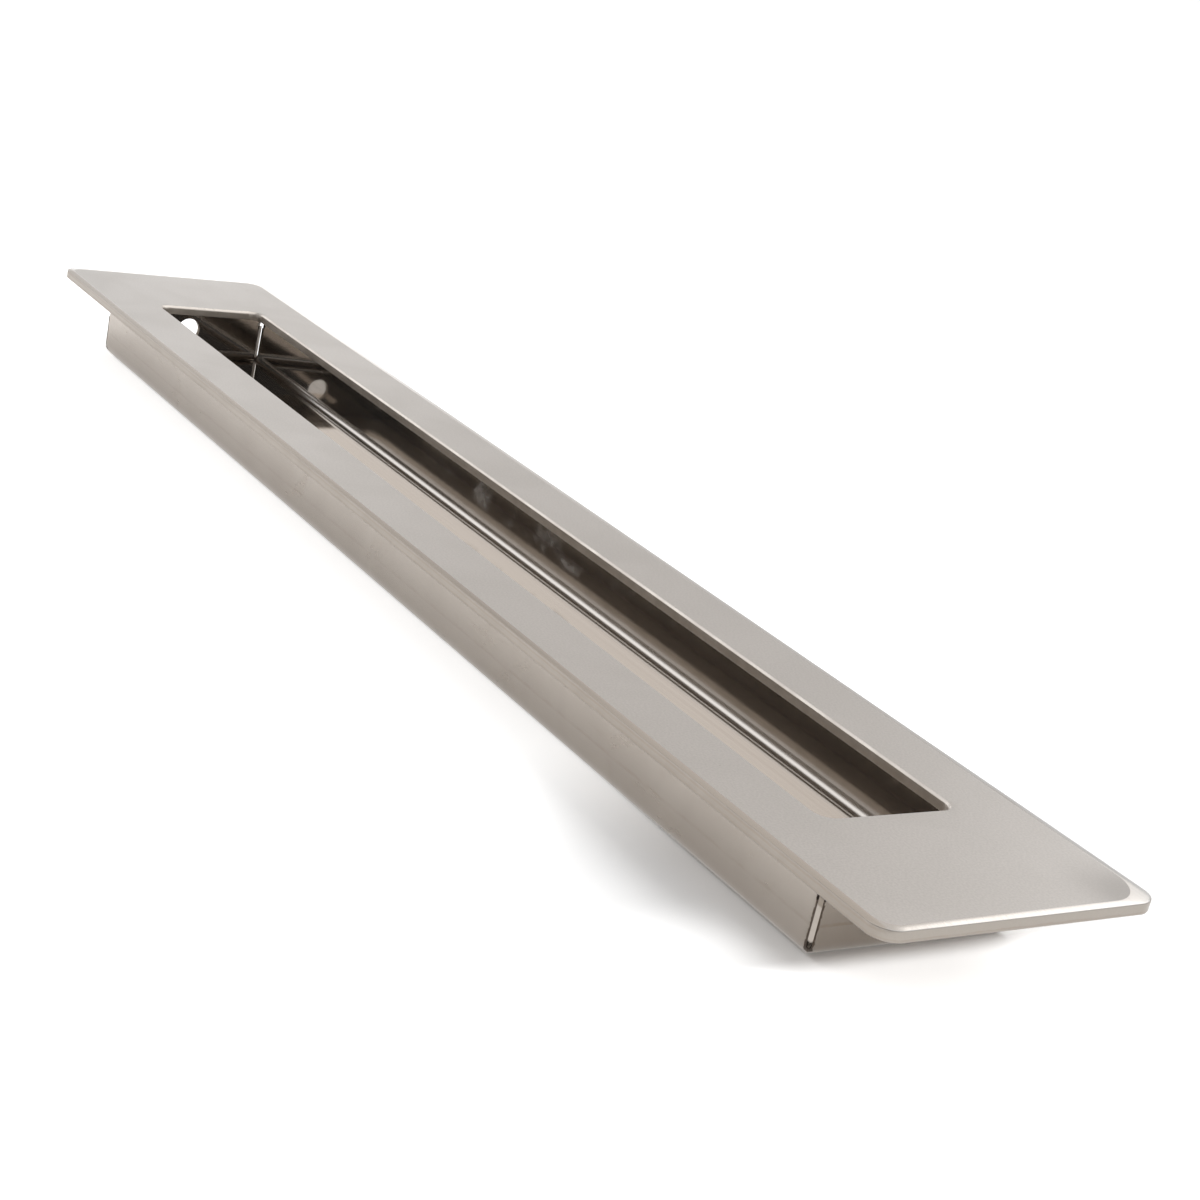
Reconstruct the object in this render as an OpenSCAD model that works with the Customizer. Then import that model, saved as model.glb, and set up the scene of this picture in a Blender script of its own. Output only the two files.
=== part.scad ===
// Recessed pull handle for a sliding door: a flat face plate with a long mouth, and behind it a tray
// folded from thin sheet. X runs along the handle, Y across it and Z out of the door.
// The origin is the middle of the tray's underside; the door's face is the plate's underside.

/* [Face plate] */
// Length of the face plate
plate_len = 250; // [120:1:400]
// Width of the face plate
plate_w = 40; // [34:0.5:80]
// Thickness of the face plate
plate_t = 1.5; // [0.8:0.1:4]
// Radius of the plate's corners, seen from the front
plate_corner_r = 3; // [1.6:0.1:5]
// Width of the shallow bevel round the plate's front edge
bevel_run = 1.1; // [0.3:0.1:1.5]
// How far the bevel falls from the front face
bevel_drop = 0.1; // [0.05:0.05:0.4]

/* [Tray] */
// Distance from the plate's end to the outside of the tray
rim_end = 14.5; // [6:0.5:30]
// Distance from the plate's long edge to the outside of the tray
rim_side = 4.5; // [3:0.1:8]
// Depth of the tray behind the plate
tray_depth = 10.8; // [8:0.1:30]
// Thickness of the tray's sheet
sheet_t = 1; // [0.6:0.1:1.5]
// Inside radius of the bends between floor and walls
bend_r = 1.4; // [0.5:0.1:2.5]

/* [Mouth] */
// How far the plate stands over the inside of each end wall
lip_end = 8; // [3:0.1:20]
// How far the plate stands over the inside of each long wall
lip_side = 4.7; // [2:0.1:6]
// Radius of the mouth's corners
mouth_corner_r = 2; // [0.5:0.1:4]
// Width of the broken edge round the top of the mouth
mouth_break = 0.3; // [0.1:0.05:0.6]

/* [Corner slits] */
// Width of the slit between two walls
slit_w = 0.6; // [0.3:0.05:1.2]
// Height of closed corner between the plate and the top of the slit
slit_drop = 2.5; // [1:0.1:3.5]
// Height of closed corner between the tray's underside and the foot of the slit
slit_foot = 1.5; // [1.2:0.1:3]
// Width of the square relief at the top of the slit
relief_w = 1.1; // [0.6:0.05:2]
// Height of the square relief at the top of the slit
relief_h = 0.9; // [0.4:0.05:2]

/* [Fixing holes] */
// Diameter of the fixing hole in each end wall
hole_d = 4.3; // [2:0.1:6]

/* [Hidden] */
$fn = 96;
overlap = 0.5;
outer_bend_r = bend_r + sheet_t;
tray_len = plate_len - 2 * rim_end;
tray_w = plate_w - 2 * rim_side;
room_len = tray_len - 2 * sheet_t;
room_w = tray_w - 2 * sheet_t;
room_depth = tray_depth - sheet_t;
mouth_len = room_len - 2 * lip_end;
mouth_w = room_w - 2 * lip_side;
slit_reach = 3 * sheet_t;
slit_top_z = tray_depth - slit_drop;
slit_end_z = slit_foot + slit_w / 2;
hole_z = sheet_t + room_depth / 2;
plate_colour = [0.77, 0.76, 0.74];
tray_colour = [0.66, 0.63, 0.59];

// Rectangle about the origin with round corners
module round_rectangle(len, w, r) {
    square([len - 2 * r, w], center = true);
    square([len, w - 2 * r], center = true);
    for (x = [-1, 1], y = [-1, 1])
        translate([x * (len / 2 - r), y * (w / 2 - r)])
            circle(r = r);
}

// Section of a strip whose two edges lean in by run over its height
module leaning_section(w, run, rise) {
    polygon([
        [-w / 2, 0],
        [w / 2, 0],
        [w / 2 - run, rise],
        [run - w / 2, rise]
    ]);
}

// Slab with round corners that narrows by run on every side between its base and its top
module bevelled_slab(len, w, r, run, rise) {
    rotate([90, 0, 90])
        linear_extrude(height = len - 2 * r, center = true)
            leaning_section(w, run, rise);
    rotate([90, 0, 0])
        linear_extrude(height = w - 2 * r, center = true)
            leaning_section(len, run, rise);
    for (x = [-1, 1], y = [-1, 1])
        translate([x * (len / 2 - r), y * (w / 2 - r), 0])
            cylinder(h = rise, r1 = r, r2 = r - run);
}

// Section of a trough that stands on its foot, with a round bend on each side of the floor
module trough_section(w, h, r) {
    translate([-w / 2, r])
        square([w, h - r]);
    translate([r - w / 2, 0])
        square([w - 2 * r, h]);
    for (x = [-1, 1])
        translate([x * (w / 2 - r), r])
            circle(r = r);
}

// Block with upright corners and all four foot edges rounded, as a folded box fills it
module folded_block(len, w, h, r) {
    intersection() {
        rotate([90, 0, 90])
            linear_extrude(height = len, center = true)
                trough_section(w, h, r);
        rotate([90, 0, 0])
            linear_extrude(height = w, center = true)
                trough_section(len, h, r);
    }
}

// Cut through an upright corner: a slit with a round foot and a square relief at its top
module corner_slit() {
    rotate([90, 0, 90])
        linear_extrude(height = 2 * slit_reach, center = true) {
            translate([-slit_w / 2, slit_end_z])
                square([slit_w, slit_top_z - slit_end_z]);
            translate([0, slit_end_z])
                circle(d = slit_w);
            translate([-relief_w / 2, slit_top_z - relief_h])
                square([relief_w, relief_h]);
        }
}

// Opening through a plate that lies on z = 0, with its top edge broken all round
module mouth_cut() {
    translate([0, 0, -overlap])
        linear_extrude(height = plate_t + 2 * overlap)
            round_rectangle(mouth_len, mouth_w, mouth_corner_r);
    translate([0, 0, plate_t])
        mirror([0, 0, 1])
            bevelled_slab(
                mouth_len + 2 * mouth_break,
                mouth_w + 2 * mouth_break,
                mouth_corner_r + mouth_break,
                mouth_break,
                mouth_break
            );
}

// Flat plate on the door's face, bevelled towards its outer edge
module face_plate() {
    color(plate_colour)
        translate([0, 0, tray_depth])
            difference() {
                union() {
                    linear_extrude(height = plate_t - bevel_drop)
                        round_rectangle(plate_len, plate_w, plate_corner_r);
                    translate([0, 0, plate_t - bevel_drop])
                        bevelled_slab(plate_len, plate_w, plate_corner_r, bevel_run, bevel_drop);
                }
                mouth_cut();
            }
}

// Folded box behind the plate, with its rim against the plate's underside
module tray() {
    color(tray_colour)
        difference() {
            folded_block(tray_len, tray_w, tray_depth, outer_bend_r);
            translate([0, 0, sheet_t])
                folded_block(room_len, room_w, room_depth + overlap, bend_r);
            for (x = [-1, 1], y = [-1, 1])
                translate([x * tray_len / 2, y * tray_w / 2, 0])
                    rotate([0, 0, x * y * 45])
                        corner_slit();
            for (x = [-1, 1])
                translate([x * (tray_len - sheet_t) / 2, 0, hole_z])
                    rotate([0, 90, 0])
                        cylinder(h = sheet_t + 2 * overlap, d = hole_d, center = true);
        }
}

face_plate();
tray();
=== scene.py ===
"""Recessed pull handle for a sliding door: a satin face plate over a bright folded tray.

The two sheets are made again here with fine bends, broken edges and the small marks that folding
and cutting leave, each inside the solid that it stands for. Lengths are in metres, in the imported
frame, unless a comment says millimetres.
"""

import math

import bpy
from mathutils import Matrix, Vector


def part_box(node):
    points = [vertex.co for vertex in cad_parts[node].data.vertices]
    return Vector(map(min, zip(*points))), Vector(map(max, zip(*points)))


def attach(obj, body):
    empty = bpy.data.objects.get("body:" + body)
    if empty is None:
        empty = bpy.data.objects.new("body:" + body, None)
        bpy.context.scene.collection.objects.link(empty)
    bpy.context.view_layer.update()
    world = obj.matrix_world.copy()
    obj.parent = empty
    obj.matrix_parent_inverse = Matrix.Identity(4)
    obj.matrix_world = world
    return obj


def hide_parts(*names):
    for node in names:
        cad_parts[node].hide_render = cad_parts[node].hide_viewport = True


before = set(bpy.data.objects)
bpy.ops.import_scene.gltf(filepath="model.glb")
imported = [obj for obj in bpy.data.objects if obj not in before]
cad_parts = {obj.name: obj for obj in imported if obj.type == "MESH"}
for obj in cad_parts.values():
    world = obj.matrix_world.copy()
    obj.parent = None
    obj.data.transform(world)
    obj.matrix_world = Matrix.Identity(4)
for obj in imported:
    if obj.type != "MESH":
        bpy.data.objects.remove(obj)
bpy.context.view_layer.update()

MM = 0.001
PER_METRE = 1000.0  # millimetres in a metre

# ---------------------------------------------------------------- sizes, as the solids have them
PLATE_LOW, PLATE_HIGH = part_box("face_plate")
TRAY_LOW, TRAY_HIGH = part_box("tray")
PLATE_SIZE = PLATE_HIGH - PLATE_LOW
TRAY_SIZE = TRAY_HIGH - TRAY_LOW
MOUTH_LENGTH = 203.0 * MM
MOUTH_WIDTH = 19.6 * MM
MOUTH_CORNER_RADIUS = 2.0 * MM
SHEET = 1.0 * MM
BEND_INSIDE = 1.4 * MM
BEND_OUTSIDE = BEND_INSIDE + SHEET
SLIT_WIDTH = 0.6 * MM
SLIT_FOOT = 1.8 * MM  # middle of the slit's round foot
SLIT_TOP = 8.3 * MM
RELIEF_WIDTH = 1.1 * MM
RELIEF_HEIGHT = 0.9 * MM
HOLE_DIAMETER = 4.3 * MM
HOLE_HEIGHT = SHEET + (TRAY_SIZE.z - SHEET) / 2

# the plate's section and corners, in millimetres
PLATE_CORNER_RADIUS = 3.0
BEVEL_RUN = 1.1
BEVEL_DROP = 0.1

# ---------------------------------------------------------------- what making the handle leaves
WALL_LEAN = 0.0175  # the folded walls spring back by one degree
PRESS_LINE_HEIGHT = 4.35 * MM
PRESS_LINE_DEPTH = 0.015 * MM
PRESS_LINE_HALF = 0.2 * MM
PRESS_LINE_SECTION = ((-1, 0), (-0.4, 0.7), (0, 1), (0.4, 0.7), (1, 0))  # shares of half and depth
# corner radii of the satin, in millimetres: near right, far right, far left, near left
SATIN_CORNER_RADII = (2.4, 5.0, 2.4, 2.4)
SHADED_CORNER = (123.0, 17.0)  # millimetres: the far right corner, where painted shade darkens the satin
CORNER_SHADE_REACH = (1.0, 10.0)  # millimetres: full to, gone by
CORNER_SHADE_SHARE = 0.5

# ---------------------------------------------------------------- the camera of the photograph
CAMERA_PLACE = Vector((262.439, -162.117, 105.017)) * MM
CAMERA_FORWARD = Vector((-0.7682, 0.5553, -0.3186))
CAMERA_UP = Vector((-0.3815, 0.0025, 0.9244))
CAMERA_LENS = 65.083
SENSOR = 36.0
CAMERA_RANGE = (0.01, 50.0)


def put_in_scene(name, data):
    """New object for the data, linked to the scene."""
    item = bpy.data.objects.new(name, data)
    bpy.context.scene.collection.objects.link(item)
    return item


def make_camera():
    """Camera at the photograph's place, turned about its own axis as the photograph is."""
    data = bpy.data.cameras.new("camera")
    data.lens = CAMERA_LENS
    data.sensor_width = SENSOR
    data.clip_start, data.clip_end = CAMERA_RANGE
    camera = put_in_scene("camera", data)
    forward = CAMERA_FORWARD.normalized()
    right = forward.cross(CAMERA_UP).normalized()
    up = right.cross(forward)
    turned = Matrix((right, up, -forward)).transposed()
    camera.matrix_world = Matrix.Translation(CAMERA_PLACE) @ turned.to_4x4()
    bpy.context.scene.camera = camera


# ---------------------------------------------------------------- laying nodes
NOISE_LOW, NOISE_HIGH = 0.3, 0.7  # nearly all of a noise lies between these


class Nodes:
    """Lays nodes into one tree; values may be numbers, colours or the outputs of other nodes."""

    def __init__(self, tree):
        self.tree = tree

    def add(self, kind, inputs=None, **settings):
        node = self.tree.nodes.new(kind)
        for name, value in settings.items():
            setattr(node, name, value)
        for name, value in (inputs or {}).items():
            self.feed(node.inputs[name], value)
        return node

    def feed(self, socket, value):
        if isinstance(value, bpy.types.NodeSocket):
            self.tree.links.new(value, socket)
        else:
            socket.default_value = value

    def math(self, operation, *values):
        node = self.tree.nodes.new("ShaderNodeMath")
        node.operation = operation
        for slot, value in enumerate(values):
            self.feed(node.inputs[slot], value)
        return node.outputs[0]

    def fade(self, value, from_min, from_max, to_min=0.0, to_max=1.0):
        """Smooth step of a value from one level to another."""
        ends = {"From Min": from_min, "From Max": from_max, "To Min": to_min, "To Max": to_max}
        node = self.add(
            "ShaderNodeMapRange", {"Value": value, **ends}, interpolation_type="SMOOTHSTEP"
        )
        return node.outputs["Result"]

    def spread(self, noise_value, low=0.0, high=1.0):
        """Noise stretched to run from low to high."""
        return self.fade(noise_value, NOISE_LOW, NOISE_HIGH, low, high)

    def vector(self, operation, first, second):
        return self.add("ShaderNodeVectorMath", {0: first, 1: second}, operation=operation).outputs


# Mix nodes carry several sockets of one name, so colour mixes name them by their place
MIX_FACTOR, MIX_FIRST, MIX_SECOND, MIX_RESULT = 0, 6, 7, 2


def blend(nodes, factor, first, second):
    node = nodes.add("ShaderNodeMix", data_type="RGBA")
    nodes.feed(node.inputs[MIX_FACTOR], factor)
    nodes.feed(node.inputs[MIX_FIRST], first)
    nodes.feed(node.inputs[MIX_SECOND], second)
    return node.outputs[MIX_RESULT]


def new_group(name, inputs, outputs):
    """Node group with number inputs (name, value) and named number outputs."""
    tree = bpy.data.node_groups.new(name, "ShaderNodeTree")
    for label, value in inputs:
        socket = tree.interface.new_socket(label, in_out="INPUT", socket_type="NodeSocketFloat")
        socket.default_value = value
    for label in outputs:
        tree.interface.new_socket(label, in_out="OUTPUT", socket_type="NodeSocketFloat")
    entry = tree.nodes.new("NodeGroupInput")
    leave = tree.nodes.new("NodeGroupOutput")
    return Nodes(tree), entry.outputs, leave.inputs


def use_group(nodes, name, **inputs):
    node = nodes.add("ShaderNodeGroup", node_tree=bpy.data.node_groups[name])
    for label, value in inputs.items():
        nodes.feed(node.inputs[label.replace("_", " ")], value)
    return node.outputs


def object_place(nodes, scale=(PER_METRE, PER_METRE, PER_METRE)):
    """Place on the object in millimetres, or stretched by another scale along X, Y and Z."""
    place = nodes.add("ShaderNodeTexCoord").outputs["Object"]
    return nodes.add("ShaderNodeMapping", {"Vector": place, "Scale": scale}).outputs["Vector"]


def split(nodes, place):
    return nodes.add("ShaderNodeSeparateXYZ", {0: place}).outputs


def noise(nodes, place, scale, detail, roughness=0.5, distortion=0.0):
    node = nodes.add(
        "ShaderNodeTexNoise",
        {"Vector": place, "Scale": scale, "Detail": detail, "Roughness": roughness,
         "Distortion": distortion},
    )
    return node.outputs["Fac"]


# ---------------------------------------------------------------- shared effects, in millimetres
def build_satin_grain():
    """Fine even grain of a satin finish, with slow clouds where it lies a little thicker."""
    nodes, given, out = new_group(
        "satin_grain", [("Grain Size", 0.25), ("Cloud Size", 14.0)], ["Grain", "Clouds"]
    )
    place = object_place(nodes)
    fine = noise(nodes, place, nodes.math("DIVIDE", 1.0, given["Grain Size"]), 3.0)
    slow = noise(nodes, place, nodes.math("DIVIDE", 1.0, given["Cloud Size"]), 4.0, 0.55, 0.6)
    nodes.feed(out["Grain"], fine)
    nodes.feed(out["Clouds"], nodes.spread(slow))


def build_rolling_lines():
    """Streaks that the rolling mill leaves along the sheet."""
    nodes, given, out = new_group("rolling_lines", [("Pitch", 0.35), ("Length", 60.0)], ["Lines"])
    place = nodes.add("ShaderNodeTexCoord").outputs["Object"]
    across = nodes.math("DIVIDE", PER_METRE, given["Pitch"])
    along = nodes.math("DIVIDE", PER_METRE, given["Length"])
    stretch = nodes.add("ShaderNodeCombineXYZ", {"X": along, "Y": across, "Z": across}).outputs[0]
    streaked = nodes.vector("MULTIPLY", place, stretch)[0]
    nodes.feed(out["Lines"], noise(nodes, streaked, 1.0, 3.0, 0.6))


HAZE_STRETCH = (600, 1000, 1300)  # patches lie along the handle
HAZE_EDGE = 0.16  # how softly a patch begins


def build_handling_haze():
    """Hazy patches of wiping and handling on bright metal."""
    nodes, given, out = new_group(
        "handling_haze", [("Patch Size", 9.0), ("Cover", 0.35)], ["Haze"]
    )
    size = nodes.math("DIVIDE", 1.0, given["Patch Size"])
    patches = noise(nodes, object_place(nodes, HAZE_STRETCH), size, 6.0, 0.6, 1.2)
    low = nodes.math("SUBTRACT", 0.78, nodes.math("MULTIPLY", given["Cover"], 0.5))
    nodes.feed(out["Haze"], nodes.fade(patches, low, nodes.math("ADD", low, HAZE_EDGE)))


def build_edge_wear():
    """Narrow band along sharp edges, where the finish is rubbed bright."""
    nodes, given, out = new_group("edge_wear", [("Width", 0.12)], ["Worn"])
    radius = nodes.math("MULTIPLY", given["Width"], MM)
    rounded = nodes.add("ShaderNodeBevel", {"Radius": radius}, samples=4).outputs["Normal"]
    true_normal = nodes.add("ShaderNodeNewGeometry").outputs["Normal"]
    likeness = nodes.vector("DOT_PRODUCT", rounded, true_normal)["Value"]
    bend = nodes.math("SUBTRACT", 1.0, likeness)
    patchy = nodes.fade(noise(nodes, object_place(nodes), 0.9, 3.0), 0.35, 0.6, 0.45, 1.0)
    nodes.feed(out["Worn"], nodes.math("MULTIPLY", nodes.fade(bend, 0.01, 0.12), patchy))


# How softly the border ends beside the slit, at its foot and at its top
SCORCH_EDGE, SCORCH_FOOT, SCORCH_TOP = 0.12, 0.4, 0.2
CORNER_BAND = (1.6, 1.2)  # in from the end walls: nothing before, full from
BURR_DEPTH = 0.5


def build_slit_scorch():
    """Dark scorched border with a ragged burr along the four corner slits."""
    nodes, given, out = new_group(
        "slit_scorch", [("Half Width", 0.5), ("Low", 1.2), ("High", 8.6)], ["Scorch"]
    )
    place = object_place(nodes)
    parts = split(nodes, place)
    ragged = nodes.math("SUBTRACT", noise(nodes, place, 1.7, 4.0, 0.7), 0.5)
    x_side = nodes.math("ABSOLUTE", parts["X"])
    y_side = nodes.math("ABSOLUTE", parts["Y"])
    # every slit's plane runs at 45 degrees through its corner of the tray
    corner_gap = (TRAY_SIZE.x - TRAY_SIZE.y) / 2 / MM
    off_plane = nodes.math("SUBTRACT", nodes.math("SUBTRACT", x_side, y_side), corner_gap)
    distance = nodes.math("DIVIDE", nodes.math("ABSOLUTE", off_plane), math.sqrt(2))
    distance = nodes.math("ADD", distance, nodes.math("MULTIPLY", ragged, BURR_DEPTH))
    half, low, high = given["Half Width"], given["Low"], given["High"]
    wall = TRAY_SIZE.x / 2 / MM
    near_slit = nodes.fade(distance, half, nodes.math("ADD", half, SCORCH_EDGE), 1.0, 0.0)
    at_corner = nodes.fade(x_side, wall - CORNER_BAND[0], wall - CORNER_BAND[1])
    over_foot = nodes.fade(parts["Z"], nodes.math("SUBTRACT", low, SCORCH_FOOT), low)
    under_top = nodes.fade(parts["Z"], high, nodes.math("ADD", high, SCORCH_TOP), 1.0, 0.0)
    mask = nodes.math("MULTIPLY", near_slit, at_corner)
    mask = nodes.math("MULTIPLY", mask, nodes.math("MULTIPLY", over_foot, under_top))
    nodes.feed(out["Scorch"], mask)


LINE_WANDER = 0.5
LINE_CORE = 0.3  # share of the half width at full strength


def build_level_line():
    """Thin line at one height, broken here and there, as the edge of a folding tool prints it."""
    nodes, given, out = new_group(
        "level_line", [("Height", 4.35), ("Half Width", 0.2), ("Breaks", 0.5)], ["Line"]
    )
    place = object_place(nodes)
    height = split(nodes, place)["Z"]
    waver = noise(nodes, place, 0.25, 5.0, 0.75)
    wander = nodes.math("MULTIPLY", nodes.math("SUBTRACT", waver, 0.5), LINE_WANDER)
    off = nodes.math("SUBTRACT", nodes.math("ADD", height, wander), given["Height"])
    core = nodes.math("MULTIPLY", given["Half Width"], LINE_CORE)
    line = nodes.fade(nodes.math("ABSOLUTE", off), core, given["Half Width"], 1.0, 0.0)
    gaps = nodes.fade(waver, 0.4, 0.6, 1.0, nodes.math("SUBTRACT", 1.0, given["Breaks"]))
    nodes.feed(out["Line"], nodes.math("MULTIPLY", line, gaps))


HIGHLIGHT_END = (-101.0, -101.4)  # along the handle: nothing before, full from


def build_end_highlight():
    """Thin painted highlight along the top of the mouth's left end, above a height."""
    nodes, given, out = new_group("end_highlight", [("Height", 11.6)], ["Burr"])
    place = split(nodes, object_place(nodes))
    above = nodes.fade(nodes.math("SUBTRACT", place["Z"], given["Height"]), 0.0, 0.12)
    at_end = nodes.fade(place["X"], *HIGHLIGHT_END)
    nodes.feed(out["Burr"], nodes.math("MULTIPLY", above, at_end))


SMUDGE_STRETCH = (0.16, 0.3, 0.22)
SMUDGE_HEIGHT = (3.6, 5.2)  # smudges lie on the upper walls, where fingertips reach


def build_finger_smudges():
    """Dull smudges of handling, gathered about one place along the handle."""
    nodes, given, out = new_group(
        "finger_smudges", [("Centre", 0.0), ("Spread", 40.0)], ["Smudge"]
    )
    place = object_place(nodes)
    parts = split(nodes, place)
    along = nodes.math("ABSOLUTE", nodes.math("SUBTRACT", parts["X"], given["Centre"]))
    off = nodes.math("DIVIDE", along, given["Spread"])
    stretched = nodes.add("ShaderNodeMapping", {"Vector": place, "Scale": SMUDGE_STRETCH})
    blotch = noise(nodes, stretched.outputs["Vector"], 1.0, 4.0, 0.55, 0.3)
    gathered = nodes.fade(off, 0.4, 1.0, 1.0, 0.0)
    gathered = nodes.math("MULTIPLY", gathered, nodes.fade(parts["Z"], *SMUDGE_HEIGHT))
    nodes.feed(out["Smudge"], nodes.math("MULTIPLY", nodes.fade(blotch, 0.44, 0.72), gathered))


def build_specks():
    """Sparse pinhead marks in the finish."""
    nodes, given, out = new_group("specks", [("Spacing", 9.0), ("Size", 0.22)], ["Speck"])
    scale = nodes.math("DIVIDE", 1.0, given["Spacing"])
    cells = nodes.add("ShaderNodeTexVoronoi", {"Vector": object_place(nodes), "Scale": scale})
    reach = nodes.math("DIVIDE", given["Size"], given["Spacing"])
    core = nodes.math("MULTIPLY", reach, 0.4)
    dot = nodes.fade(cells.outputs["Distance"], core, reach, 1.0, 0.0)
    chosen = nodes.add("ShaderNodeSeparateColor", {"Color": cells.outputs["Color"]})
    some = nodes.fade(chosen.outputs["Red"], 0.55, 0.8)
    nodes.feed(out["Speck"], nodes.math("MULTIPLY", dot, some))


# ---------------------------------------------------------------- finishes
# A pair's first colour shows where the finish's clouds, lines or haze are weak, its second where
# they are strong
SATIN = ((0.561, 0.539, 0.518, 1), (0.582, 0.56, 0.541, 1))
# dark colour of the painted shade at the satin's far right corner
SATIN_PAINTED_SHADE = (0.26, 0.245, 0.232, 1)
SPECK = (0.2, 0.16, 0.12, 1)
BEVEL = ((0.57, 0.545, 0.52, 1), (0.60, 0.58, 0.56, 1))
# painted shade of the bevel along the near side
BEVEL_NEAR_PAINTED_SHADE = (0.55, 0.505, 0.458, 1)
EDGE = ((0.286, 0.254, 0.222, 1), (0.312, 0.279, 0.247, 1))
# painted light on the edge at the right end
EDGE_END_PAINTED_LIGHT = (0.335, 0.303, 0.27, 1)
PRINTED_LINE = (0.25, 0.2, 0.16, 1)
MOUTH = ((0.46, 0.415, 0.365, 1), (0.545, 0.495, 0.445, 1))
MOUTH_WORN = (0.60, 0.56, 0.52, 1)
ARRIS = ((0.565, 0.52, 0.478, 1), (0.64, 0.598, 0.555, 1))
# pale colour of the painted highlight on the mouth's left end
PAINTED_HIGHLIGHT = (0.76, 0.70, 0.635, 1)
UNDERSIDE = ((0.52, 0.455, 0.39, 1), (0.44, 0.38, 0.315, 1))
INSIDE = ((0.575, 0.535, 0.495, 1), (0.61, 0.572, 0.535, 1))
BEND = ((0.565, 0.53, 0.495, 1), (0.61, 0.58, 0.55, 1))
INSIDE_SCORCHED = (0.10, 0.08, 0.06, 1)
OUTSIDE = ((0.352, 0.314, 0.278, 1), (0.373, 0.335, 0.298, 1))
OUTSIDE_HAZE = (0.328, 0.284, 0.243, 1)
# painted shade on the right end wall
OUTSIDE_END_PAINTED_SHADE = (0.25, 0.213, 0.178, 1)
OUTSIDE_SCORCHED = (0.07, 0.05, 0.037, 1)
CUT = ((0.09, 0.07, 0.055, 1), (0.2, 0.165, 0.13, 1))
CUT_WORN = (0.4, 0.36, 0.32, 1)

# Where a finish changes, in millimetres: nothing before the first, full from the second
NEAR_BEVEL = (-18.7, -19.2)
PLATE_END = (123.0, 124.8)
TRAY_END = (109.0, 110.3)


def new_finish(name, roughness, metallic=1.0):
    """Metal with one plain roughness, which the finish's own marks then vary."""
    material = bpy.data.materials.new(name)
    material.use_nodes = True
    shader = material.node_tree.nodes["Principled BSDF"]
    shader.inputs["Metallic"].default_value = metallic
    shader.inputs["Roughness"].default_value = roughness
    return material, Nodes(material.node_tree), shader.inputs


def bump(nodes, shader, height, depth):
    """Relief of the given depth in millimetres."""
    node = nodes.add("ShaderNodeBump", {"Height": height, "Strength": 1.0, "Distance": depth * MM})
    nodes.feed(shader["Normal"], node.outputs["Normal"])


def satin_face():
    material, nodes, shader = new_finish("satin_plate_face", 0.34)
    grain = use_group(nodes, "satin_grain", Grain_Size=0.3, Cloud_Size=16.0)
    worn = use_group(nodes, "edge_wear", Width=0.3)["Worn"]
    speck = use_group(nodes, "specks", Spacing=11.0, Size=0.2)["Speck"]
    shade = nodes.spread(grain["Grain"], 0.935, 1.055)
    colour = blend(nodes, grain["Clouds"], *SATIN)
    colour = nodes.vector("MULTIPLY", colour, shade)[0]
    colour = blend(nodes, nodes.math("MULTIPLY", speck, 0.7), colour, SPECK)
    place = split(nodes, object_place(nodes))
    # painted shade: the satin darkens towards its far right corner
    along = nodes.math("POWER", nodes.math("SUBTRACT", place["X"], SHADED_CORNER[0]), 2.0)
    across = nodes.math("POWER", nodes.math("SUBTRACT", place["Y"], SHADED_CORNER[1]), 2.0)
    away = nodes.math("SQRT", nodes.math("ADD", along, across))
    corner_shade = nodes.fade(away, *CORNER_SHADE_REACH, CORNER_SHADE_SHARE, 0.0)
    nodes.feed(shader["Base Color"], blend(nodes, corner_shade, colour, SATIN_PAINTED_SHADE))
    rough = nodes.fade(grain["Clouds"], 0.0, 1.0, 0.37, 0.34)
    rough = nodes.math("ADD", rough, nodes.spread(grain["Grain"], -0.02, 0.02))
    rough = nodes.math("SUBTRACT", rough, nodes.math("MULTIPLY", worn, 0.08))
    nodes.feed(shader["Roughness"], rough)
    bump(nodes, shader, grain["Grain"], 0.0008)
    return material


def polished_bevel():
    """Polished nearly to a mirror; painted shade makes it a little darker and browner along the
    near side.
    """
    material, nodes, shader = new_finish("polished_plate_bevel", 0.13)
    lines = use_group(nodes, "rolling_lines", Pitch=0.2, Length=12.0)["Lines"]
    grain = use_group(nodes, "satin_grain", Grain_Size=0.4, Cloud_Size=9.0)
    colour = blend(nodes, grain["Clouds"], *BEVEL)
    # painted shade: the bevel is darker and browner along the near side
    near = nodes.fade(split(nodes, object_place(nodes))["Y"], *NEAR_BEVEL)
    nodes.feed(shader["Base Color"], blend(nodes, near, colour, BEVEL_NEAR_PAINTED_SHADE))
    nodes.feed(shader["Roughness"], nodes.spread(lines, 0.12, 0.2))
    bump(nodes, shader, lines, 0.0008)
    return material


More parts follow.
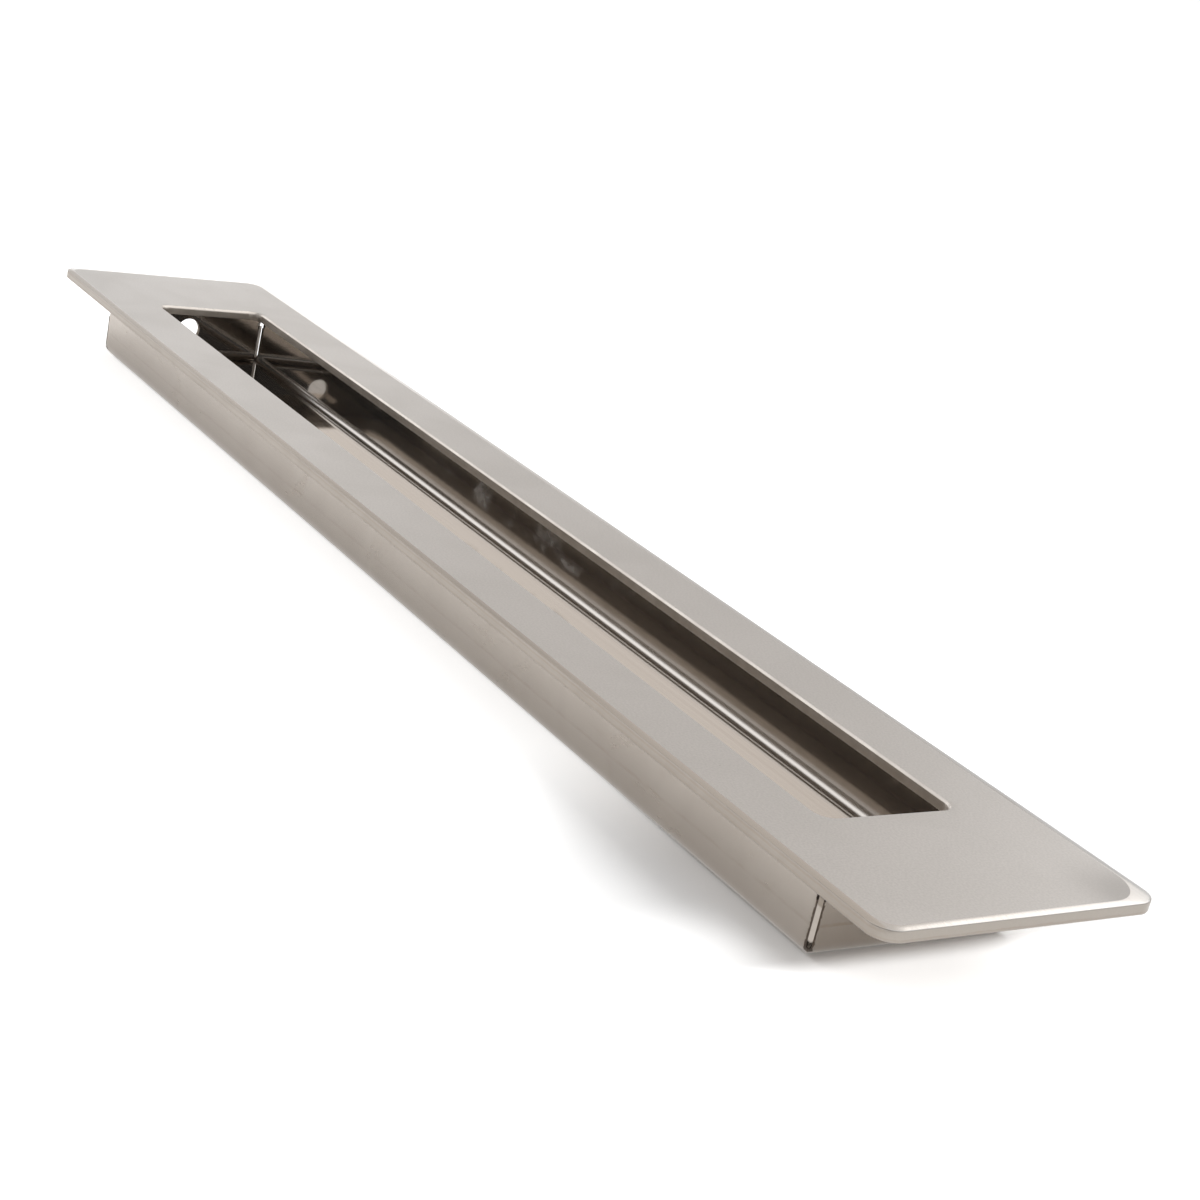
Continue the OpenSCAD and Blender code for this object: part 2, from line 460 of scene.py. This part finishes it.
def plate_edge():
    """Sheared edge with a brown line near its top and its foot, and painted light making it lighter
    on the right end.
    """
    material, nodes, shader = new_finish("sheared_plate_edge", 0.34)
    lines = use_group(nodes, "rolling_lines", Pitch=0.3, Length=25.0)["Lines"]
    grain = use_group(nodes, "satin_grain", Grain_Size=0.2, Cloud_Size=8.0)
    top, foot = PLATE_HIGH.z / MM - 0.45, PLATE_LOW.z / MM + 0.33
    high = use_group(nodes, "level_line", Height=top, Half_Width=0.17, Breaks=0.3)["Line"]
    low = use_group(nodes, "level_line", Height=foot, Half_Width=0.15, Breaks=0.35)["Line"]
    along = split(nodes, object_place(nodes))["X"]
    high = nodes.math("MULTIPLY", high, nodes.fade(along, *PLATE_END, 0.42, 0.0))
    marks = nodes.math("ADD", high, nodes.math("MULTIPLY", low, 0.34))
    colour = blend(nodes, grain["Clouds"], *EDGE)
    # painted light: the edge is lighter on the right end
    colour = blend(nodes, nodes.fade(along, *PLATE_END), colour, EDGE_END_PAINTED_LIGHT)
    nodes.feed(shader["Base Color"], blend(nodes, marks, colour, PRINTED_LINE))
    nodes.feed(shader["Roughness"], nodes.spread(lines, 0.3, 0.4))
    bump(nodes, shader, lines, 0.0015)
    return material


def add_end_highlight(nodes, shader, colour):
    """Lays the left end's painted highlight over a colour; it is dull and hardly mirrors."""
    burr = use_group(nodes, "end_highlight", Height=(PLATE_HIGH.z / MM - 0.5))["Burr"]
    # painted highlight: a pale dull strip along the top of the mouth's left end
    nodes.feed(shader["Base Color"], blend(nodes, burr, colour, PAINTED_HIGHLIGHT))
    nodes.feed(shader["Metallic"], nodes.fade(burr, 0.0, 1.0, 1.0, 0.15))


def mouth_edge():
    material, nodes, shader = new_finish("sheared_mouth_edge", 0.42)
    lines = use_group(nodes, "rolling_lines", Pitch=0.25, Length=20.0)["Lines"]
    grain = use_group(nodes, "satin_grain", Grain_Size=0.15, Cloud_Size=5.0)
    worn = use_group(nodes, "edge_wear", Width=0.15)["Worn"]
    colour = blend(nodes, grain["Clouds"], *MOUTH)
    add_end_highlight(nodes, shader, blend(nodes, worn, colour, MOUTH_WORN))
    nodes.feed(shader["Roughness"], nodes.spread(lines, 0.36, 0.5))
    bump(nodes, shader, lines, 0.003)
    return material


def mouth_arris():
    material, nodes, shader = new_finish("broken_mouth_arris", 0.25)
    grain = use_group(nodes, "satin_grain", Grain_Size=0.2, Cloud_Size=6.0)
    add_end_highlight(nodes, shader, blend(nodes, grain["Clouds"], *ARRIS))
    nodes.feed(shader["Roughness"], nodes.fade(grain["Clouds"], 0.0, 1.0, 0.34, 0.24))
    bump(nodes, shader, grain["Grain"], 0.001)
    return material


def plate_underside():
    material, nodes, shader = new_finish("plate_underside", 0.5, metallic=0.6)
    lines = use_group(nodes, "rolling_lines", Pitch=0.5, Length=60.0)["Lines"]
    haze = use_group(nodes, "handling_haze", Patch_Size=10.0, Cover=0.4)["Haze"]
    nodes.feed(shader["Base Color"], blend(nodes, haze, *UNDERSIDE))
    rough = nodes.spread(lines, 0.42, 0.52)
    rough = nodes.math("ADD", rough, nodes.math("MULTIPLY", haze, 0.08))
    nodes.feed(shader["Roughness"], rough)
    bump(nodes, shader, lines, 0.001)
    return material


def tray_inside():
    """Bright as rolled, nearly a mirror, but for smudges in the middle and scorch at the slits."""
    material, nodes, shader = new_finish("bright_tray_inside", 0.04, metallic=0.97)
    lines = use_group(nodes, "rolling_lines", Pitch=0.6, Length=90.0)["Lines"]
    haze = use_group(nodes, "handling_haze", Patch_Size=8.0, Cover=0.3)["Haze"]
    scorch = use_group(nodes, "slit_scorch", Half_Width=0.35)["Scorch"]
    smudge = use_group(nodes, "finger_smudges", Centre=-6.0, Spread=36.0)["Smudge"]
    colour = blend(nodes, nodes.spread(lines), *INSIDE)
    colour = blend(nodes, nodes.math("MULTIPLY", scorch, 0.8), colour, INSIDE_SCORCHED)
    nodes.feed(shader["Base Color"], colour)
    rough = nodes.math("ADD", nodes.spread(lines, 0.035, 0.06), nodes.math("MULTIPLY", haze, 0.1))
    rough = nodes.math("ADD", rough, nodes.math("MULTIPLY", scorch, 0.3))
    nodes.feed(shader["Roughness"], rough)
    nodes.feed(shader["Metallic"], nodes.fade(smudge, 0.0, 1.0, 0.975, 0.6))
    bump(nodes, shader, lines, 0.0004)
    return material


def tray_bend():
    """The sheet turns dull where it is stretched over a bend."""
    material, nodes, shader = new_finish("stretched_tray_bend", 0.2)
    lines = use_group(nodes, "rolling_lines", Pitch=0.3, Length=90.0)["Lines"]
    haze = use_group(nodes, "handling_haze", Patch_Size=6.0, Cover=0.4)["Haze"]
    scorch = use_group(nodes, "slit_scorch", Half_Width=0.35)["Scorch"]
    colour = blend(nodes, nodes.spread(lines), *BEND)
    colour = blend(nodes, nodes.math("MULTIPLY", scorch, 0.8), colour, INSIDE_SCORCHED)
    nodes.feed(shader["Base Color"], colour)
    rough = nodes.math("ADD", nodes.spread(lines, 0.2, 0.27), nodes.math("MULTIPLY", haze, 0.08))
    nodes.feed(shader["Roughness"], rough)
    bump(nodes, shader, lines, 0.0006)
    return material


def tray_outside():
    """Rolled sheet with the press line; painted shade darkens the right end wall and makes its line
    stronger there.
    """
    material, nodes, shader = new_finish("bright_tray_outside", 0.26)
    lines = use_group(nodes, "rolling_lines", Pitch=0.5, Length=70.0)["Lines"]
    grain = use_group(nodes, "satin_grain", Grain_Size=0.3, Cloud_Size=12.0)
    haze = use_group(nodes, "handling_haze", Patch_Size=9.0, Cover=0.5)["Haze"]
    scorch = use_group(nodes, "slit_scorch", Half_Width=0.46)["Scorch"]
    press_line_and_shade = use_group(
        nodes, "level_line", Height=PRESS_LINE_HEIGHT / MM, Half_Width=0.3, Breaks=0.7
    )["Line"]
    along = split(nodes, object_place(nodes))["X"]
    # the press line, made stronger on the right end wall as painted shade
    press_line_and_shade = nodes.math("MULTIPLY", press_line_and_shade, nodes.fade(along, *TRAY_END, 0.22, 0.6))
    colour = blend(nodes, grain["Clouds"], *OUTSIDE)
    colour = blend(nodes, nodes.math("MULTIPLY", haze, 0.4), colour, OUTSIDE_HAZE)
    # painted shade: the right end wall is darker
    colour = blend(nodes, nodes.fade(along, *TRAY_END, 0.0, 0.4), colour, OUTSIDE_END_PAINTED_SHADE)
    colour = blend(nodes, press_line_and_shade, colour, PRINTED_LINE)
    colour = blend(nodes, nodes.math("MULTIPLY", scorch, 0.9), colour, OUTSIDE_SCORCHED)
    nodes.feed(shader["Base Color"], colour)
    rough = nodes.math("ADD", nodes.spread(lines, 0.2, 0.25), nodes.math("MULTIPLY", haze, 0.06))
    rough = nodes.math("ADD", rough, nodes.math("MULTIPLY", scorch, 0.3))
    nodes.feed(shader["Roughness"], rough)
    fine = nodes.math("MULTIPLY", grain["Grain"], 0.4)
    height = nodes.math("ADD", nodes.math("MULTIPLY", lines, 0.6), fine)
    bump(nodes, shader, height, 0.0006)
    return material


def cut_edge():
    material, nodes, shader = new_finish("scorched_cut_edge", 0.5)
    grain = use_group(nodes, "satin_grain", Grain_Size=0.1, Cloud_Size=0.8)
    worn = use_group(nodes, "edge_wear", Width=0.08)["Worn"]
    colour = blend(nodes, grain["Clouds"], *CUT)
    colour = blend(nodes, nodes.math("MULTIPLY", worn, 0.5), colour, CUT_WORN)
    nodes.feed(shader["Base Color"], colour)
    nodes.feed(shader["Roughness"], nodes.fade(grain["Clouds"], 0.0, 1.0, 0.55, 0.4))
    bump(nodes, shader, grain["Grain"], 0.01)
    return material


for build in (build_satin_grain, build_rolling_lines, build_handling_haze, build_edge_wear,
              build_slit_scorch, build_level_line, build_end_highlight, build_finger_smudges,
              build_specks):
    build()

FINISHES = {
    "satin_face": satin_face(),
    "polished_bevel": polished_bevel(),
    "plate_edge": plate_edge(),
    "mouth_edge": mouth_edge(),
    "mouth_arris": mouth_arris(),
    "plate_underside": plate_underside(),
    "tray_inside": tray_inside(),
    "tray_bend": tray_bend(),
    "tray_outside": tray_outside(),
    "cut_edge": cut_edge(),
}


# ---------------------------------------------------------------- meshes
CORNER_STEPS = 14
LONG_STEPS = 40
SHORT_STEPS = 8
BEND_STEPS = 18
BEVEL_STEPS = 9
SLIT_STEPS = 8
HOLE_STEPS = 48
SHARP_ANGLE = 30  # degrees
CORNERS = ((1, -1), (1, 1), (-1, 1), (-1, -1))  # near right, far right, far left, near left


def rectangle_ring(length, width, radii, z, corner_steps=CORNER_STEPS):
    """Points round a rectangle at height z, anticlockwise, with a radius for each of CORNERS."""
    arcs = []
    for turn, ((x_side, y_side), radius) in enumerate(zip(CORNERS, radii)):
        x_mid = x_side * (length / 2 - radius)
        y_mid = y_side * (width / 2 - radius)
        arc = []
        for step in range(corner_steps + 1):
            angle = math.radians(90 * (turn - 1) + 90 * step / max(corner_steps, 1))
            arc.append((x_mid + radius * math.cos(angle), y_mid + radius * math.sin(angle)))
        arcs.append(arc)
    points = []
    for turn, arc in enumerate(arcs):
        points += arc
        steps = SHORT_STEPS if turn % 2 == 0 else LONG_STEPS
        (x_0, y_0), (x_1, y_1) = arc[-1], arcs[(turn + 1) % len(arcs)][0]
        for step in range(1, steps):
            part = step / steps
            points.append((x_0 + (x_1 - x_0) * part, y_0 + (y_1 - y_0) * part))
    return [(x, y, z) for x, y in points]


def skin(name, rings, finishes, closed):
    """Mesh over rings of equal count; finishes names the finish of the band after each ring.

    A closed skin runs back to its first ring; an open one gets a lid at each end.
    """
    count = len(rings[0])
    points = [point for ring in rings for point in ring]
    names = sorted(set(finishes))
    faces, slots = [], []
    bands = len(rings) if closed else len(rings) - 1
    for band in range(bands):
        low, high = band * count, (band + 1) % len(rings) * count
        for step in range(count):
            after = (step + 1) % count
            faces.append((low + step, low + after, high + after, high + step))
            slots.append(names.index(finishes[band]))
    if not closed:
        last = (len(rings) - 1) * count
        faces.append(tuple(reversed(range(count))))
        slots.append(names.index(finishes[0]))
        faces.append(tuple(range(last, last + count)))
        slots.append(names.index(finishes[-1]))
    mesh = bpy.data.meshes.new(name)
    mesh.from_pydata(points, [], faces)
    for finish in names:
        mesh.materials.append(FINISHES[finish])
    mesh.polygons.foreach_set("material_index", slots)
    mesh.update()
    return put_in_scene(name, mesh)


def hold_flats_flat(piece):
    """Lets the large faces set the normals, so that only bends and edges look round."""
    piece.data.polygons.foreach_set("use_smooth", [True] * len(piece.data.polygons))
    piece.data.set_sharp_from_angle(angle=math.radians(SHARP_ANGLE))
    weigh = piece.modifiers.new("flats", "WEIGHTED_NORMAL")
    weigh.keep_sharp = True
    weigh.weight = 100


def bake(piece):
    """Puts the outcome of the piece's modifiers into its mesh."""
    graph = bpy.context.evaluated_depsgraph_get()
    made = bpy.data.meshes.new_from_object(piece.evaluated_get(graph))
    piece.modifiers.clear()
    piece.data = made


def even(radius):
    """One radius for all four corners."""
    return (radius,) * len(CORNERS)


def bevel_rings(thick):
    """The slightly rounded bevel, from its foot up to the satin; the corners go over to its own."""
    rings = []
    for step in range(BEVEL_STEPS + 1):
        down = 0.96 * (1 - step / BEVEL_STEPS)  # share of the bevel's run still to go
        radii = [
            PLATE_CORNER_RADIUS + (radius - PLATE_CORNER_RADIUS) * (1 - down)
            for radius in SATIN_CORNER_RADII
        ]
        height = thick - BEVEL_DROP * (0.22 * down + 0.78 * down ** 2)
        finish = "polished_bevel" if step < BEVEL_STEPS else "satin_face"
        rings.append((BEVEL_RUN * (1 - down), height, radii, finish))
    return rings


def make_plate():
    """Face plate as one ring of sheet: round the outer edge, over the face, down the mouth."""
    thick = PLATE_SIZE.z / MM
    lip = thick - BEVEL_DROP
    # millimetres: inset from the outline, height over the underside, corner radii; finish after it
    outer = [
        (0.70, 0.0, even(2.3), "plate_underside"),
        (0.24, 0.0, even(2.76), "plate_edge"),
        (0.12, 0.018, even(2.88), "plate_edge"),
        (0.05, 0.06, even(2.95), "plate_edge"),
        (0.012, 0.13, even(2.988), "plate_edge"),
        (0.0, 0.22, even(3.0), "plate_edge"),
        (0.0, lip - 0.06, even(3.0), "plate_edge"),
        (0.01, lip - 0.02, even(3.0), "plate_edge"),
        *bevel_rings(thick),
        (1.9, thick, SATIN_CORNER_RADII, "satin_face"),
    ]
    # millimetres: distance out from the mouth, height over the underside; finish after it
    inner = [
        (1.3, thick, "satin_face"),
        (0.36, thick, "satin_face"),
        (0.31, thick - 0.006, "mouth_arris"),
        (0.28, thick - 0.025, "mouth_arris"),
        (0.03, thick - 0.27, "mouth_edge"),
        (0.0, thick - 0.33, "mouth_edge"),
        (0.0, 0.09, "mouth_edge"),
        (0.03, 0.025, "mouth_edge"),
        (0.09, 0.0, "plate_underside"),
        (0.5, 0.0, "plate_underside"),
    ]
    rings, finishes = [], []
    for inset, height, radii, finish in outer:
        length, width = PLATE_SIZE.x - 2 * inset * MM, PLATE_SIZE.y - 2 * inset * MM
        radii = [radius * MM for radius in radii]
        rings.append(rectangle_ring(length, width, radii, PLATE_LOW.z + height * MM))
        finishes.append(finish)
    for outset, height, finish in inner:
        length, width = MOUTH_LENGTH + 2 * outset * MM, MOUTH_WIDTH + 2 * outset * MM
        radii = even(MOUTH_CORNER_RADIUS + outset * MM)
        rings.append(rectangle_ring(length, width, radii, PLATE_LOW.z + height * MM))
        finishes.append(finish)
    plate = skin("face_plate_sheet", rings, finishes, closed=True)
    hold_flats_flat(plate)
    return plate


def tray_ring(inset, height):
    """Rectangle of the tray's wall at one height; over the bend the walls lean out a little."""
    lean = max(0.0, height - BEND_OUTSIDE) * WALL_LEAN
    length, width = TRAY_SIZE.x - 2 * (inset - lean), TRAY_SIZE.y - 2 * (inset - lean)
    return rectangle_ring(length, width, even(0.0), height, corner_steps=0)


def make_tray():
    """Folded tray: outside and inside skins with true bends, then the slits and holes cut out."""
    rings, finishes = [], []
    for step in range(BEND_STEPS + 1):
        angle = math.radians(90 * step / BEND_STEPS)
        inset, height = BEND_OUTSIDE * (1 - math.sin(angle)), BEND_OUTSIDE * (1 - math.cos(angle))
        rings.append(tray_ring(inset, height))
        finishes.append("tray_outside")
    for offset, depth in PRESS_LINE_SECTION:
        height = PRESS_LINE_HEIGHT + offset * PRESS_LINE_HALF
        rings.append(tray_ring(depth * PRESS_LINE_DEPTH, height))
        finishes.append("tray_outside")
    rings.append(tray_ring(0.0, TRAY_SIZE.z))
    finishes.append("cut_edge")
    rings.append(tray_ring(SHEET, TRAY_SIZE.z))
    finishes.append("tray_inside")
    for step in range(BEND_STEPS + 1):
        angle = math.radians(90 * (1 - step / BEND_STEPS))
        inset, height = BEND_INSIDE * (1 - math.sin(angle)), BEND_INSIDE * (1 - math.cos(angle))
        rings.append(tray_ring(SHEET + inset, SHEET + height))
        finishes.append("tray_bend" if step < BEND_STEPS else "tray_inside")
    tray = skin("folded_tray", rings, finishes, closed=False)
    cutters = [make_slit_cutter(x, y) for x in (-1, 1) for y in (-1, 1)]
    cutters += [make_hole_cutter(x) for x in (-1, 1)]
    for cutter in cutters:
        cut = tray.modifiers.new("cut", "BOOLEAN")
        cut.operation = "DIFFERENCE"
        cut.solver = "EXACT"
        cut.object = cutter
    bake(tray)
    for cutter in cutters:
        bpy.data.objects.remove(cutter)
    hold_flats_flat(tray)
    return tray


def prism(name, section, reach):
    """Closed bar with the given section of (across, up), reaching as far to both sides of X 0."""
    count = len(section)
    points = [(x, across, up) for x in (-reach, reach) for across, up in section]
    faces = [tuple(reversed(range(count))), tuple(range(count, 2 * count))]
    for step in range(count):
        after = (step + 1) % count
        faces.append((step, after, count + after, count + step))
    mesh = bpy.data.meshes.new(name)
    mesh.from_pydata(points, [], faces)
    mesh.materials.append(FINISHES["cut_edge"])
    return put_in_scene(name, mesh)


def make_slit_cutter(x_side, y_side):
    """Bar through one upright corner: a slit with a round foot under a square relief."""
    half = SLIT_WIDTH / 2
    wide = RELIEF_WIDTH / 2
    section = []
    for step in range(SLIT_STEPS + 1):
        angle = math.radians(180 + 180 * step / SLIT_STEPS)
        section.append((half * math.cos(angle), SLIT_FOOT + half * math.sin(angle)))
    section += [
        (half, SLIT_TOP - RELIEF_HEIGHT),
        (wide, SLIT_TOP - RELIEF_HEIGHT),
        (wide, SLIT_TOP),
        (-wide, SLIT_TOP),
        (-wide, SLIT_TOP - RELIEF_HEIGHT),
        (-half, SLIT_TOP - RELIEF_HEIGHT),
    ]
    bar = prism("slit_bar", section, 3 * SHEET)
    bar.location = (x_side * TRAY_SIZE.x / 2, y_side * TRAY_SIZE.y / 2, 0)
    bar.rotation_euler = (0, 0, math.radians(45) * x_side * y_side)
    return bar


def make_hole_cutter(x_side):
    """Round bar through the middle of one end wall."""
    radius = HOLE_DIAMETER / 2
    section = []
    for step in range(HOLE_STEPS):
        angle = 2 * math.pi * step / HOLE_STEPS
        section.append((radius * math.cos(angle), HOLE_HEIGHT + radius * math.sin(angle)))
    bar = prism("hole_bar", section, 2 * SHEET)
    bar.location = (x_side * TRAY_SIZE.x / 2, 0, 0)
    return bar


# ---------------------------------------------------------------- floor
FLOOR_REACH = 12.0
FLOOR_WHITE = 0.9
# The paper's own light, as strengths: it keeps the shadow in front of the handle's right half only
LIFT = 0.03
LIFT_LEFT = 0.5
LIFT_PAST_END = 0.62
LIFT_OFF_CORNER = 0.33
LIFT_MIRRORED = 0.33
# Where each of them sets in, in millimetres along X, and for the corner across too
LEFT_FADE = (90.0, 54.0)
PAST_END_FADE = (109.3, 113.4)
CORNER_FADE_ALONG = (94.0, 106.0)
CORNER_FADE_OUT = (-16.0, -23.0)


def make_floor():
    """White paper, lifted to full white for the eye round the shadow, and evenly for mirrors."""
    material, nodes, shader = new_finish("white_paper", 1.0, metallic=0.0)
    shader["Base Color"].default_value = (FLOOR_WHITE, FLOOR_WHITE, FLOOR_WHITE, 1)
    shader["Specular IOR Level"].default_value = 0.0
    shader["Emission Color"].default_value = (1, 1, 1, 1)
    place = split(nodes, object_place(nodes))
    left = nodes.fade(place["X"], *LEFT_FADE, LIFT, LIFT_LEFT)
    past_end = nodes.fade(place["X"], *PAST_END_FADE, 0.0, LIFT_PAST_END)
    off_corner = nodes.math(
        "MULTIPLY",
        nodes.fade(place["X"], *CORNER_FADE_ALONG),
        nodes.fade(place["Y"], *CORNER_FADE_OUT, 0.0, LIFT_OFF_CORNER),
    )
    seen = nodes.math("ADD", nodes.math("ADD", left, past_end), off_corner)
    path = nodes.add("ShaderNodeLightPath").outputs
    seen = nodes.math("MULTIPLY", path["Is Camera Ray"], seen)
    by_mirror = nodes.math("MAXIMUM", path["Is Glossy Ray"], path["Is Transmission Ray"])
    mirrored = nodes.math("MULTIPLY", by_mirror, LIFT_MIRRORED)
    nodes.feed(shader["Emission Strength"], nodes.math("ADD", seen, mirrored))
    mesh = bpy.data.meshes.new("floor")
    corners = [(x * FLOOR_REACH, y * FLOOR_REACH, 0) for x, y in CORNERS]
    mesh.from_pydata(corners, [], [(0, 1, 2, 3)])
    mesh.materials.append(material)
    put_in_scene("floor", mesh)


# ---------------------------------------------------------------- studio and lights
def toward(azimuth, elevation):
    """Unit vector at an angle anticlockwise from +X and one over the horizon, in degrees."""
    a, e = math.radians(azimuth), math.radians(elevation)
    return Vector((math.cos(a) * math.cos(e), math.sin(a) * math.cos(e), math.sin(e)))


# Strength near the horizon, over it and overhead, and the sines of height between which it changes
LOW_LEVEL, HIGH_LEVEL, TOP_LEVEL = 1.03, 0.93, 0.6
LOW_TO_HIGH = (0.05, 0.28)
HIGH_TO_TOP = (0.8, 0.97)
STUDIO_PATCHES = [  # azimuth, elevation, full to, gone by (degrees), strength added
    (213, 20, 15, 30, 0.55),
    (123, 31, 4, 8, 1.1),
    (155, 8, 4, 8, 0.75),
    (147, 33, 5, 16, -0.2),
    (127, 22.5, 2, 4, 0.6),
    (134, 14, 6, 13, -0.2),
    (156, 21, 6, 12, -0.2),
]
STUDIO_SHADES = [  # azimuth, elevation, full to, gone by (degrees), share taken
    (332, 18, 12, 26, 0.94),
    (290, 35, 25, 62, 0.35),
]
BOX_GAP = (24.0, 27.0, 30.0, 33.0)  # slope in degrees: dimmer band across the soft box at the left
BOX_GAP_PATCH = (213, 18, 24, 34)
BOX_GAP_SHARE = 0.5
WARM_PATCH = (146, 30, 10, 24)
WARM = (1.0, 0.95, 0.90, 1)
WHITE = (1, 1, 1, 1)


def make_world():
    """White studio that the metal mirrors; the eye sees plain white.

    A broad soft box stands at the front left, small bright and dim places at the back left, and it
    is dark where the photographer stands.
    """
    world = bpy.data.worlds.new("studio")
    bpy.context.scene.world = world
    world.use_nodes = True
    world.node_tree.nodes.clear()
    nodes = Nodes(world.node_tree)
    place = nodes.add("ShaderNodeTexCoord").outputs["Generated"]
    parts = split(nodes, place)

    def patch(azimuth, elevation, full_to, gone_by):
        likeness = nodes.vector("DOT_PRODUCT", place, toward(azimuth, elevation))["Value"]
        ends = math.cos(math.radians(gone_by)), math.cos(math.radians(full_to))
        return nodes.fade(likeness, *ends)

    def dimmed(strength, mask, share):
        taken = nodes.math("MULTIPLY", mask, share)
        return nodes.math("MULTIPLY", strength, nodes.math("SUBTRACT", 1.0, taken))

    level = nodes.fade(parts["Z"], *LOW_TO_HIGH, LOW_LEVEL, HIGH_LEVEL)
    overhead = nodes.fade(parts["Z"], *HIGH_TO_TOP, 0.0, HIGH_LEVEL - TOP_LEVEL)
    level = nodes.math("SUBTRACT", level, overhead)
    for *where, strength in STUDIO_PATCHES:
        level = nodes.math("ADD", level, nodes.math("MULTIPLY", patch(*where), strength))
    for *where, share in STUDIO_SHADES:
        level = dimmed(level, patch(*where), share)
    slope = nodes.math("ARCTAN2", parts["Z"], nodes.math("MULTIPLY", parts["Y"], -1.0))
    begin, full, still, end = (math.radians(angle) for angle in BOX_GAP)
    gap = nodes.math("MULTIPLY", nodes.fade(slope, begin, full),
                     nodes.fade(slope, still, end, 1.0, 0.0))
    gap = nodes.math("MULTIPLY", gap, patch(*BOX_GAP_PATCH))
    level = dimmed(level, gap, BOX_GAP_SHARE)
    tint = blend(nodes, patch(*WARM_PATCH), WHITE, WARM)
    studio = nodes.add("ShaderNodeBackground", {"Color": tint, "Strength": level})
    white = nodes.add("ShaderNodeBackground", {"Color": WHITE})
    mix = nodes.add("ShaderNodeMixShader", {
        0: nodes.add("ShaderNodeLightPath").outputs["Is Camera Ray"],
        1: studio.outputs[0],
        2: white.outputs[0],
    })
    nodes.add("ShaderNodeOutputWorld", {0: mix.outputs[0]})


KEY_FROM = (78, 56)
KEY_SPREAD = 56.0  # degrees
KEY_STRENGTH = 1.8
FILL_PLACE = Vector((-50, -135, 110)) * MM
FILL_AIM = Vector((-50, -30, 0)) * MM
FILL_LENGTH = 0.23
FILL_WIDTH = 0.05
FILL_SPREAD = 180.0  # degrees
FILL_POWER = 0.08  # watts


def place_light(name, kind, place, aim):
    """Light for the paper and its shadow; it isn't mirrored, as the world holds all that is."""
    data = bpy.data.lights.new(name, kind)
    light = put_in_scene(name, data)
    light.location = place
    light.rotation_euler = (aim - place).to_track_quat("-Z", "Y").to_euler()
    light.visible_glossy = False
    light.visible_camera = False
    return data


def make_lights():
    """Broad key from high behind the handle, and a weak fill over the paper at the near left."""
    key = place_light("key", "SUN", toward(*KEY_FROM), Vector((0, 0, 0)))
    key.angle = math.radians(KEY_SPREAD)
    key.energy = KEY_STRENGTH
    fill = place_light("fill_left", "AREA", FILL_PLACE, FILL_AIM)
    fill.shape = "RECTANGLE"
    fill.size = FILL_LENGTH
    fill.size_y = FILL_WIDTH
    fill.spread = math.radians(FILL_SPREAD)
    fill.energy = FILL_POWER


make_camera()
make_world()
make_lights()
make_floor()
plate = make_plate()
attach(plate, "root")
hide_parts("face_plate")
tray = make_tray()
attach(tray, "root")
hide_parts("tray")

bpy.context.scene.view_settings.view_transform = "Standard"
